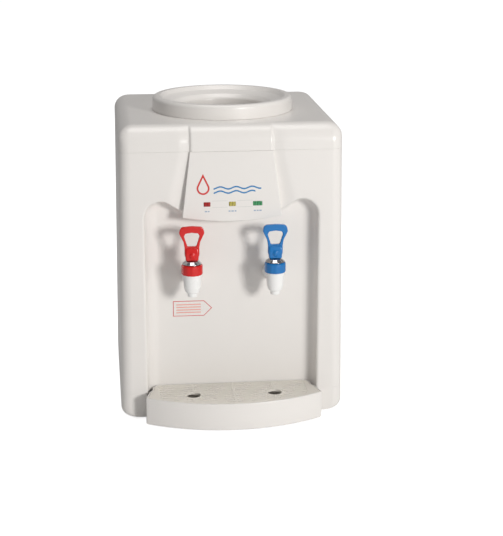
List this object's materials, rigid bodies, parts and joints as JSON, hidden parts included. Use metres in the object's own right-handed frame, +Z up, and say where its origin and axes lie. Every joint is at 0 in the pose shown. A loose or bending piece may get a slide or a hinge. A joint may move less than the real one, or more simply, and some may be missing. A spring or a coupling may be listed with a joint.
{
  "type": "countertop water dispenser",
  "caption": "Countertop water dispenser with a hot and a cold lever tap over a drip tray in a shallow recess, and a collar on top for an upturned water bottle.",
  "frame": {"origin": "on the floor under the middle of the whole outline, drip tray included", "axes": "+X to the user's right, +Y from the front to the back, +Z up"},
  "size_m": [0.3096, 0.362, 0.43],
  "materials": {
    "casing_white": "smooth warm white moulded shell with a soft gloss",
    "tap_white": "bright white moulded tap",
    "inner_white": "plain moulded inner part",
    "grille_ivory": "ivory moulded grille",
    "hot_red": "glossy red",
    "cold_blue": "glossy blue",
    "rocker_green": "glossy green",
    "lamp_red": "tinted lamp lens",
    "lamp_amber": "tinted lamp lens",
    "lamp_green": "tinted lamp lens",
    "back_grey": "grey powder-coated sheet",
    "foot_rubber": "soft foot",
    "silicone": "milky silicone",
    "screw_steel": "plated steel",
    "tank_steel": "drawn stainless steel",
    "heater_steel": "heat-tinted steel",
    "zinc_sheet": "bright plated sheet",
    "cooler_aluminium": "extruded aluminium",
    "foam_white": "expanded foam beads",
    "ceramic_white": "fired ceramic",
    "board_green": "coated circuit board",
    "black_plastic": "black moulded plastic"
  },
  "bodies": {
    "casing": {"base": "casing_white", "front_panel": "casing_white", "indicator_panel": "casing_white", "top_cover": "casing_white", "left_side_panel": "casing_white", "right_side_panel": "casing_white", "back_panel": "back_grey", "feet": "foot_rubber", "back_screws": "screw_steel", "funnel": "casing_white", "hot_lamp": "lamp_red", "power_lamp": "lamp_amber", "cool_lamp": "lamp_green", "lamp_board": "board_green", "cold_tank": "tank_steel", "tank_foam": "foam_white", "baffle": "inner_white", "cold_block": "cooler_aluminium", "peltier_module": "ceramic_white", "heat_sink": "cooler_aluminium", "fan_frame": "black_plastic", "chassis": "zinc_sheet", "hot_tank": "tank_steel", "heater_band": "heater_steel", "thermostats": "ceramic_white", "feed_hose": "silicone", "cold_hose": "silicone", "hot_hose": "silicone", "power_board": "board_green", "switch_housings": "black_plastic", "drain_pipe": "inner_white", "cord_gland": "black_plastic", "hot_tap_body": "tap_white", "hot_tap_cap": "hot_red", "hot_spring": "screw_steel", "hot_gasket": "silicone", "hot_nut": "inner_white", "cold_tap_body": "tap_white", "cold_tap_cap": "cold_blue", "cold_spring": "screw_steel", "cold_gasket": "silicone", "cold_nut": "inner_white"},
    "hot_valve": {"hot_stem": "inner_white", "hot_plug": "silicone", "hot_lever_pin": "screw_steel"},
    "hot_handle": {"hot_lever": "hot_red"},
    "cold_valve": {"cold_stem": "inner_white", "cold_plug": "silicone", "cold_lever_pin": "screw_steel"},
    "cold_handle": {"cold_lever": "cold_blue"},
    "tray": {"drip_tray": "casing_white"},
    "grille": {"drip_grille": "grille_ivory"},
    "collar": {"bottle_collar": "casing_white", "collar_seal": "silicone"},
    "fan": {"fan_rotor": "black_plastic"},
    "heat_rocker": {"heat_switch": "hot_red"},
    "cool_rocker": {"cool_switch": "rocker_green"},
    "cap": {"drain_cap": "inner_white"}
  },
  "joints": [
    {"name": "hot_valve_lift", "type": "slide", "parent": "casing", "child": "hot_valve", "axis": [0, 0, 1], "range_m": [0, 0.003], "stiffness_N_per_m": 60, "deforming": ["hot_spring"]},
    {"name": "hot_lever_tilt", "type": "hinge", "parent": "hot_valve", "child": "hot_handle", "pos_m": [-0.056, -0.141, 0.237], "axis": [1, 0, 0], "range_deg": [0, 35]},
    {"name": "cold_valve_lift", "type": "slide", "parent": "casing", "child": "cold_valve", "axis": [0, 0, 1], "range_m": [0, 0.003], "stiffness_N_per_m": 60, "deforming": ["cold_spring"]},
    {"name": "cold_lever_tilt", "type": "hinge", "parent": "cold_valve", "child": "cold_handle", "pos_m": [0.056, -0.141, 0.237], "axis": [1, 0, 0], "range_deg": [0, 35]},
    {"name": "tray_slide", "type": "slide", "parent": "casing", "child": "tray", "axis": [0, -1, 0], "range_m": [0, 0.095]},
    {"name": "grille_lift", "type": "slide", "parent": "tray", "child": "grille", "axis": [0, 0, 1], "range_m": [0, 0.06]},
    {"name": "collar_lift", "type": "slide", "parent": "casing", "child": "collar", "axis": [0, 0, 1], "range_m": [0, 0.05]},
    {"name": "fan_spin", "type": "hinge", "parent": "casing", "child": "fan", "pos_m": [0, 0.165, 0.26], "axis": [0, 1, 0], "continuous": true},
    {"name": "heat_rocker_tilt", "type": "hinge", "parent": "casing", "child": "heat_rocker", "pos_m": [-0.07, 0.1745, 0.15], "axis": [1, 0, 0], "range_deg": [-12, 0]},
    {"name": "cool_rocker_tilt", "type": "hinge", "parent": "casing", "child": "cool_rocker", "pos_m": [0.07, 0.1745, 0.15], "axis": [1, 0, 0], "range_deg": [-12, 0]},
    {"name": "drain_cap_pull", "type": "slide", "parent": "casing", "child": "cap", "axis": [0, 1, 0], "range_m": [0, 0.02]}
  ],
  "couplings": [
    {"joint": "hot_lever_tilt", "follows": "hot_valve_lift", "rad_per_m": 203.6},
    {"joint": "cold_lever_tilt", "follows": "cold_valve_lift", "rad_per_m": 203.6}
  ]
}
